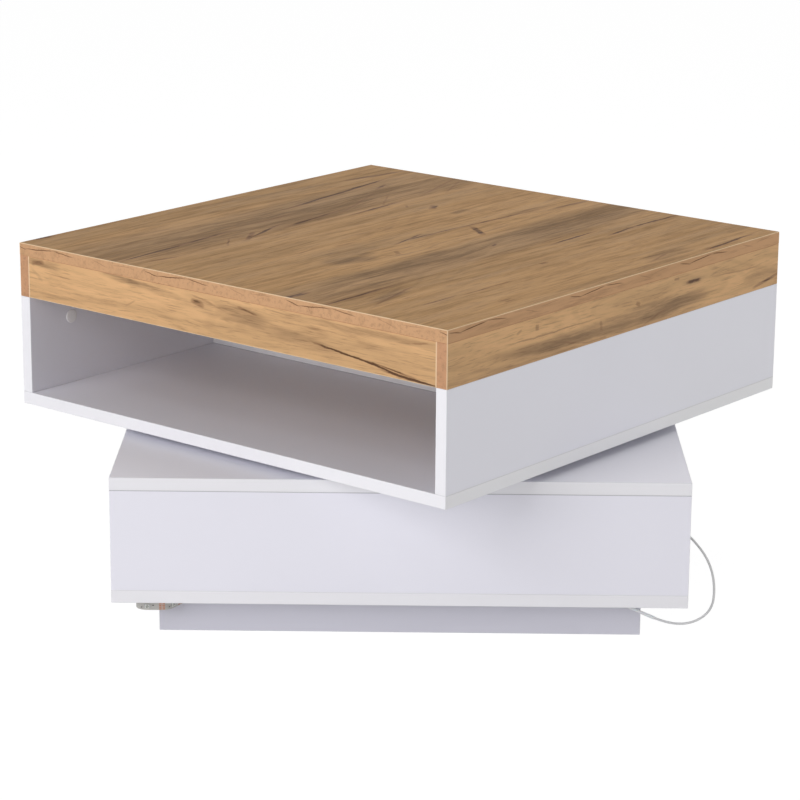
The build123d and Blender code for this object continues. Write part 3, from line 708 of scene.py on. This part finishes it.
def metal(name, tint, roughness, grain_scale):
    """Metal with the fine marks of its making."""
    material, tree = new_material(name)
    place = board_place(tree)
    lines = grain(tree, place, (grain_scale,) * 3, 3, 0.6)
    cloud = step(tree, grain(tree, place, (40,) * 3, 2), 0.3, 0.7, 0, 0.2)
    return finish(material, {
        "Base Color": blend(tree, cloud, tint, tuple(0.6 * c for c in tint)),
        "Metallic": 1,
        "Roughness": step(tree, lines, 0.3, 0.7, roughness - 0.06, roughness + 0.08),
        "bump": (lines, 0.00001),
    })


def plastic(name, tint, roughness=0.45, pebble=900, depth=0.00002, subsurface=0.0):
    """Moulded plastic with a fine grained skin."""
    material, tree = new_material(name)
    place = board_place(tree)
    pebbles = grain(tree, place, (pebble,) * 3, 2, 0.6)
    cloud = step(tree, grain(tree, place, (25,) * 3, 2), 0.3, 0.7, 0, 0.08)
    return finish(material, {
        "Base Color": blend(tree, cloud, tint, tuple(0.7 * c for c in tint)),
        "Roughness": step(tree, pebbles, 0.3, 0.7, roughness - 0.04, roughness + 0.06),
        "Subsurface Weight": subsurface,
        "bump": (pebbles, depth),
    })


def strip_places():
    """Places and turns of the light chips, and of the cut marks halfway between them."""
    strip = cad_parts["led_strip"]
    waiting = solid_middles("led_chips")
    level = waiting[0].z
    along = [Vector(SLEEVE_MOUTH)]
    while waiting:
        waiting.sort(key=lambda middle: (middle - along[-1]).length)
        along.append(waiting.pop(0))

    def seat(point):
        found, near, normal, face = strip.closest_point_on_mesh(point)
        out = Vector((normal.x, normal.y, 0)).normalized()
        return Vector((near.x, near.y, level)), out

    def place(near, out):
        # The shape's Z stands out of the strip and its Y is up.
        turn = Matrix((UP.cross(out), UP, out)).transposed().to_euler()
        return near + out * CHIP_RISE, tuple(turn)
    seats = [seat(middle) for middle in along[1:]]
    chips = [place(near, out) for near, out in seats]
    cuts = []
    for (near, out), (next_near, next_out) in zip(seats, seats[1:]):
        cuts.append(place(*seat((near + next_near) / 2 + (out + next_out).normalized() * CUT_SEARCH)))
    return chips, cuts


def slabs(name, boxes):
    """Small thin slabs, open underneath: each has a middle and a size."""
    mesh = bmesh.new()
    for middle, reach in boxes:
        corners = [
            mesh.verts.new(Vector(middle) + Vector((x * reach[0], y * reach[1], z * reach[2])) / 2)
            for z in (-1, 1) for x, y in SQUARE]
        mesh.faces.new(corners[3::-1])
        mesh.faces.new(corners[4:])
        for i in range(4):
            j = (i + 1) % 4
            mesh.faces.new((corners[i], corners[j], corners[4 + j], corners[4 + i]))
    return shaped(name, mesh)


def square_row(half, height, sides=12):
    """Row of points round a square."""
    return ring_row(lambda turn: half / max(abs(math.cos(turn)), abs(math.sin(turn))), height, sides)


def chip_housing():
    """Square housing of a light chip, with a round well in its face."""
    return skin("chip_housing", [
        square_row(0.0025, -0.00075), square_row(0.0025, 0.00062), square_row(0.00236, 0.00075),
        ring_row(0.002, 0.00075, 12), ring_row(0.0019, 0.0006, 12)])


def chip_window():
    """Clear resin in the well of a light chip."""
    return turned("chip_window", [(0, 0.00058), (0.00192, 0.00058), (0.0016, 0.00064), (0, 0.00068)], 12)


class TABLE_OT_oak_boards(bpy.types.Operator):
    """Give the table top and the four aprons their oak decor"""

    bl_idname = "table.oak_boards"
    bl_label = "Oak boards"

    def execute(self, context):
        top = dict(
            along="Y", across="X", banded="XY", pale=("upright", "upper"), smoke=TOP_SMOKE,
            cracks=TOP_CRACKS, shade=(0.71, 0.672, 0.575), contrast=1, gloss=0.06, band_name="top_band")
        front = dict(
            along="X", across="Z", banded="XZ", pale=("upright", "lower"), smoke=FRONT_SMOKE,
            cracks=FRONT_CRACKS, shade=(1, 1, 1), contrast=0.6, gloss=0.2, band_name="band")
        side = dict(
            front, along="Y", banded="YZ", pale=("upright",), smoke=SIDE_SMOKE, cracks=SIDE_CRACKS,
            contrast=0.55)
        for node, looks, seed in (
            ("table_top", top, 1), ("apron_front", front, 4), ("apron_rear", front, 6),
            ("apron_left", side, 8), ("apron_right", side, 9),
        ):
            dress(oak(node, seed=seed, **looks), node)
        return {"FINISHED"}


class TABLE_OT_white_boards(bpy.types.Operator):
    """Give the boards of both blocks and the plinth their white melamine"""

    bl_idname = "table.white_boards"
    bl_label = "White boards"

    def execute(self, context):
        # Painted shade: darker seam lines where the lower walls meet the top board above them and where
        # the upper divider stands on the bottom board, for the shadow in those joints.
        under_top = dict(seams=("upper",), ease=0.0007, depth=0.68)
        on_bottom = dict(seams=("lower",), ease=0.0009, depth=0.8)
        # The plinth's darker face is painted shade, for the shadow under the overhang.
        plinth = dict(face="plinth")
        for turn, banded, options, names in (
            (LOWER_TURN, "XY", {}, ("lower_bottom_board", "lower_top_board")),
            (LOWER_TURN, "YZ", {}, ("lower_divider",)),
            (LOWER_TURN, "YZ", under_top, ("lower_wall_front", "lower_wall_rear")),
            (UPPER_TURN, "XY", {}, ("upper_bottom_board",)),
            (UPPER_TURN, "YZ", {}, ("upper_wall_left", "upper_wall_right")),
            (UPPER_TURN, "YZ", on_bottom, ("upper_divider",)),
            (0, "X", plinth, ("plinth_front", "plinth_rear")),
            (0, "Y", plinth, ("plinth_left", "plinth_right")),
        ):
            for name in names:
                dress(melamine(name, turn, banded, **options), name)
        return {"FINISHED"}


class TABLE_OT_glued_wood(bpy.types.Operator):
    """Give tongues and glued blocks their raw wood"""

    bl_idname = "table.glued_wood"
    bl_label = "Tongues and blocks"

    def execute(self, context):
        dress(raw_wood(), *(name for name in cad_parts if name.endswith(("_tongues", "_blocks"))))
        return {"FINISHED"}


class TABLE_OT_bearing(bpy.types.Operator):
    """Give the swivel bearing its rings, balls, cage and screws"""

    bl_idname = "table.bearing"
    bl_label = "Swivel bearing"

    def execute(self, context):
        look = context.scene.table_fitting
        dress(metal("rolled_ring", look.ring, 0.34, 300), "lower_bearing_ring", "upper_bearing_ring")
        steel = metal("plated_steel", look.steel, 0.3, 600)
        dress(plastic("cage_plastic", look.cage, 0.5), "ball_cage")

        low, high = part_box("bearing_balls")
        radius = (high[2] - low[2]) / 2
        steps = 12
        arc = [math.pi * i / steps for i in range(1, steps)]
        side = [(radius * math.sin(turn), -radius * math.cos(turn)) for turn in arc]
        ball = turned("ball", [(0, -radius), *side, (0, radius)], 2 * steps, 90)
        balls = ring_copies(
            "ball_set_balls", "bearing_balls", ball, metal("ball_steel", look.ball, 0.12, 900),
            (low[2] + high[2]) / 2)
        solid_piece("ball_set_balls", balls, "ball_set", "ball_steel", "bearing_balls")

        for node, body, thread, pitch, tip in (
            ("lower_ring_bolts", "base", 0.004, 0.0009, 0.0006),
            ("upper_ring_screws", "upper_block", 0.0035, 0.0016, 0.005),
        ):
            low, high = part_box(node)
            neck = low[2] + look.head_height
            fixing = hexagon_fixing(
                node, look.head_width, look.head_height, thread, high[2] - neck, pitch, tip)
            fixings = ring_copies(f"{node}_threaded", node, fixing, steel, neck)
            solid_piece(f"{node}_threaded", fixings, body, "steel", node)
        return {"FINISHED"}


class TABLE_OT_connectors(bpy.types.Operator):
    """Give the cams, their bolts and their caps their finish"""

    bl_idname = "table.connectors"
    bl_label = "Connectors"

    def execute(self, context):
        look = context.scene.table_fitting
        dress(metal("cast_zinc", look.zinc, 0.5, 500), "cam_locks")
        dress(metal("bolt_steel", look.steel, 0.3, 600), "cam_bolts")
        white = plastic("cap_plastic", look.cap, 0.4)
        cap = turned("cap", [
            (0, -0.0006), (0.009, -0.0006), (0.009, -0.0001), (0.0088, 0.0002), (0.0083, 0.0004),
            (0.0074, 0.00046), (0.0071, 0.0004), (0.0068, 0.00048), (0.0045, 0.00057), (0, 0.0006),
        ], 48, 40)
        places = []
        for middle in solid_middles("cam_caps"):
            across = (Matrix.Rotation(-UPPER_TURN, 3, "Z") @ middle).x
            places.append((middle, (0, math.copysign(math.pi / 2, -across), UPPER_TURN)))
        caps = copies("cam_caps_domed", at_marked_places(), cap, white, places)
        solid_piece("cam_caps_domed", caps, "upper_block", "cap_plastic", "cam_caps")
        return {"FINISHED"}


class TABLE_OT_light_strip(bpy.types.Operator):
    """Give the light strip and its chips their finish"""

    bl_idname = "table.light_strip"
    bl_label = "Light strip"

    def execute(self, context):
        look = context.scene.table_light
        dress(plastic("strip_film", look.film, 0.35), "led_strip")
        marked = at_marked_places()
        chips, cuts = strip_places()
        # Middle and size of each small slab, from the middle of its chip.
        legs = [((side * 0.0028, (row - 1) * 0.0017, -0.00075), (0.0012, 0.0009, 0.0004))
                for side in (-1, 1) for row in range(3)]
        dies = [((x, y, 0.00066), (0.0009, 0.0009, 0.00012)) for x, y in (
            (-0.0009, -0.0007), (0.0011, -0.0004), (0.0, 0.0011))]
        pads = [((side * 0.002, (row - 1.5) * 0.0023, -0.00092), (0.0032, 0.0017, 0.00012))
                for side in (-1, 1) for row in range(4)]
        resistors = [((side * 0.0072, side * 0.0012, -0.00065), (0.0016, 0.0009, 0.0006))
                     for side in (-1, 1)]
        solder = metal("solder", look.solder, 0.35, 900)
        copper = metal("copper", look.copper, 0.4, 900)
        housing = plastic("chip_housing", look.chip_body, 0.4)
        resin = plastic("chip_window", look.chip_window, 0.15)
        dark = plastic("die", look.chip_die, 0.3)
        for name, places, shape, material, slot in (
            ("chip_housings", chips, chip_housing(), housing, "chip"),
            ("chip_windows", chips, chip_window(), resin, "chip"),
            ("chip_legs", chips, slabs("legs", legs), solder, "steel"),
            ("chip_dies", chips, slabs("dies", dies), dark, "chip"),
            ("strip_resistors", chips, slabs("resistors", resistors), dark, "chip"),
            ("strip_pads", cuts, slabs("pads", pads), copper, "strip_film"),
        ):
            solid_piece(name, copies(name, marked, shape, material, places), "base", slot, "led_chips")
        return {"FINISHED"}


class TABLE_OT_battery_box(bpy.types.Operator):
    """Give the battery box and its switch their finish"""

    bl_idname = "table.battery_box"
    bl_label = "Battery box"

    def execute(self, context):
        look = context.scene.table_light
        box = plastic("box_plastic", look.box, 0.42)
        dress(box, "light_box_base", "light_box_cover")
        low, high = (Vector(corner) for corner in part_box("light_box_gland"))
        profile = [(0, 0), (0.003, 0), (0.003, 0.0016)]
        for i in range(4):
            foot, radius = 0.0018 + 0.0014 * i, 0.0029 - 0.00018 * i
            profile += [
                (radius - 0.0005, foot), (radius - 0.0005, foot + 0.0004), (radius, foot + 0.0006),
                (radius, foot + 0.0012)]
        profile += [(0.002, 0.0078), (0.0017, high.x - low.x), (0, high.x - low.x)]
        gland = turned("gland", profile, 32, 30)
        gland.transform(Matrix.Rotation(math.pi / 2, 4, "Y"))
        gland.transform(Matrix.Translation((low.x, (low.y + high.y) / 2, (low.z + high.z) / 2)))
        gland.materials.append(box)
        solid_piece("ribbed_gland", gland, "base", "box_plastic", "light_box_gland")
        dress(plastic("knob_plastic", look.knob, 0.4), "switch_slider", "switch_housing")
        dress(plastic("battery_wrap", look.wrap, 0.25), "light_box_battery")
        dress(plastic("circuit_board", look.circuit, 0.35), "light_box_circuit")
        dress(plastic("foam_tape", look.tape, 0.8, 2500, 0.00008), "light_box_tape")
        return {"FINISHED"}


class TABLE_OT_lead(bpy.types.Operator):
    """Make the lead from the light strip to the battery box, and the sleeve at its start"""

    bl_idname = "table.lead"
    bl_label = "Lead"

    def execute(self, context):
        look = context.scene.table_light
        line = bpy.data.curves.new("lead", "CURVE")
        line.dimensions = "3D"
        spline = line.splines.new("NURBS")
        spline.points.add(len(LEAD_ROUTE) - 1)
        for point, place in zip(spline.points, LEAD_ROUTE):
            point.co = (*place, 1)
        spline.order_u = 3
        spline.use_endpoint_u = True
        spline.resolution_u = 12
        line.bevel_depth = look.lead_diameter / 2
        line.bevel_resolution = 4
        line.use_fill_caps = True
        line.materials.append(plastic("lead_sheath", look.sheath, 0.42, 1500))
        lead = solid_piece("lead", line, "base", "lead_sheath", "led_lead")
        mouth, neck, end = Vector(SLEEVE_MOUTH), Vector(SLEEVE_NECK), Vector(LEAD_ROUTE[0])
        stations = []
        for share, height, thickness in SLEEVE_SHAPE:
            first, second = mouth.lerp(neck, share), neck.lerp(end, share)
            stations.append((first.lerp(second, share), second - first, height / 1000, thickness / 1000))
        film = tube("sleeve", stations)
        film.materials.append(plastic("sleeve_film", look.sleeve, 0.3, subsurface=0.1))
        sleeve = solid_piece("shrink_sleeve", film, "base", "sleeve_film", "led_sleeve")
        return {"FINISHED"}


class TABLE_OT_stage(bpy.types.Operator):
    """Set up the camera, the lamps and the pale floor"""

    bl_idname = "table.stage"
    bl_label = "Stage"

    def execute(self, context):
        scene = context.scene
        stage = scene.table_stage
        scene.view_settings.view_transform = "Standard"
        self.camera(scene, stage)
        for name, place, across, tint in LAMPS:
            self.lamp(f"{name}_lamp", getattr(stage, f"{name}_power"), place, across, tint)
        self.sky(scene, stage)
        self.floor()
        return {"FINISHED"}

    @staticmethod
    def camera(scene, stage):
        """Camera that looks along +Y and down."""
        data = bpy.data.cameras.new("camera")
        data.lens = stage.focal_length
        data.sensor_width = 36
        camera = show("camera", data)
        turn = Euler((math.pi / 2 - stage.camera_pitch, 0, -stage.camera_yaw)).to_matrix()
        turn = turn @ Matrix.Rotation(stage.camera_roll, 3, "Z")
        camera.matrix_world = Matrix.Translation(stage.camera_place) @ turn.to_4x4()
        scene.camera = camera

    @staticmethod
    def lamp(name, energy, place, across, tint):
        """Large soft lamp that faces the table."""
        data = bpy.data.lights.new(name, "AREA")
        data.energy = energy
        data.color = tint
        data.size = across
        lamp = show(name, data)
        lamp.location = place
        lamp.rotation_euler = (Vector(place) - LAMP_AIM).to_track_quat("Z", "Y").to_euler()

    @staticmethod
    def sky(scene, stage):
        """Even light all round, white where the camera sees it."""
        world = bpy.data.worlds.new("sky")
        tree = empty_tree(world)
        seen = seen_directly(tree)
        light = add(tree, "ShaderNodeBackground", {"Color": (1, 1, 1, 1), "Strength": stage.sky})
        white = add(tree, "ShaderNodeBackground", {"Color": (1, 1, 1, 1)})
        mixed = add(tree, "ShaderNodeMixShader", {0: seen, 1: light, 2: white})
        add(tree, "ShaderNodeOutputWorld", {"Surface": mixed})
        scene.world = world

    @staticmethod
    def floor():
        """Pale floor that keeps the table's shadow."""
        mesh = bpy.data.meshes.new("floor")
        mesh.from_pydata([(x * FLOOR_HALF, y * FLOOR_HALF, 0) for x, y in SQUARE], [], [(0, 1, 2, 3)])
        material = bpy.data.materials.new("floor")
        tree = empty_tree(material)
        matt = add(tree, "ShaderNodeBsdfDiffuse", {"Color": (0.8, 0.8, 0.8, 1)})
        white = add(tree, "ShaderNodeEmission", {"Color": (1, 1, 1, 1), "Strength": FLOOR_GLOW})
        share = calc(tree, "MULTIPLY", seen_directly(tree), FLOOR_WHITE_SHARE)
        mixed = add(tree, "ShaderNodeMixShader", {0: share, 1: matt, 2: white})
        add(tree, "ShaderNodeOutputMaterial", {"Surface": mixed})
        mesh.materials.append(material)
        show("floor", mesh)


def seen_directly(tree):
    """1 for rays from the camera, off a mirror or through glass."""
    rays = tree.nodes.new("ShaderNodeLightPath").outputs
    return largest(tree, [rays[f"Is {kind} Ray"] for kind in ("Camera", "Glossy", "Transmission")])


class TABLE_PT_steps(bpy.types.Panel):
    """Steps that finish the table"""

    bl_idname = "TABLE_PT_steps"
    bl_label = "Swivel coffee table"
    bl_space_type = "VIEW_3D"
    bl_region_type = "UI"
    bl_category = "Table"

    def draw(self, context):
        for step_class in STEPS:
            self.layout.operator(step_class.bl_idname)


STEPS = (
    TABLE_OT_stage, TABLE_OT_lead, TABLE_OT_oak_boards, TABLE_OT_white_boards, TABLE_OT_glued_wood,
    TABLE_OT_bearing, TABLE_OT_connectors, TABLE_OT_light_strip, TABLE_OT_battery_box,
)
SETTINGS = {
    "table_oak": OakFinish,
    "table_board": BoardFinish,
    "table_fitting": FittingFinish,
    "table_light": LightFinish,
    "table_stage": StageSettings,
}


def register():
    """Register the settings, the steps and the panel."""
    for name, group in SETTINGS.items():
        bpy.utils.register_class(group)
        setattr(bpy.types.Scene, name, PointerProperty(type=group))
    for part in (*STEPS, TABLE_PT_steps):
        bpy.utils.register_class(part)


def unregister():
    """Take them away again."""
    for part in (TABLE_PT_steps, *reversed(STEPS)):
        bpy.utils.unregister_class(part)
    for name, group in SETTINGS.items():
        delattr(bpy.types.Scene, name)
        bpy.utils.unregister_class(group)


def main():
    """Finish the table."""
    register()
    bpy.ops.table.stage()
    bpy.ops.table.lead()
    bpy.ops.table.oak_boards()
    bpy.ops.table.white_boards()
    bpy.ops.table.glued_wood()
    bpy.ops.table.bearing()
    bpy.ops.table.connectors()
    bpy.ops.table.light_strip()
    bpy.ops.table.battery_box()


if __name__ == "__main__":
    main()
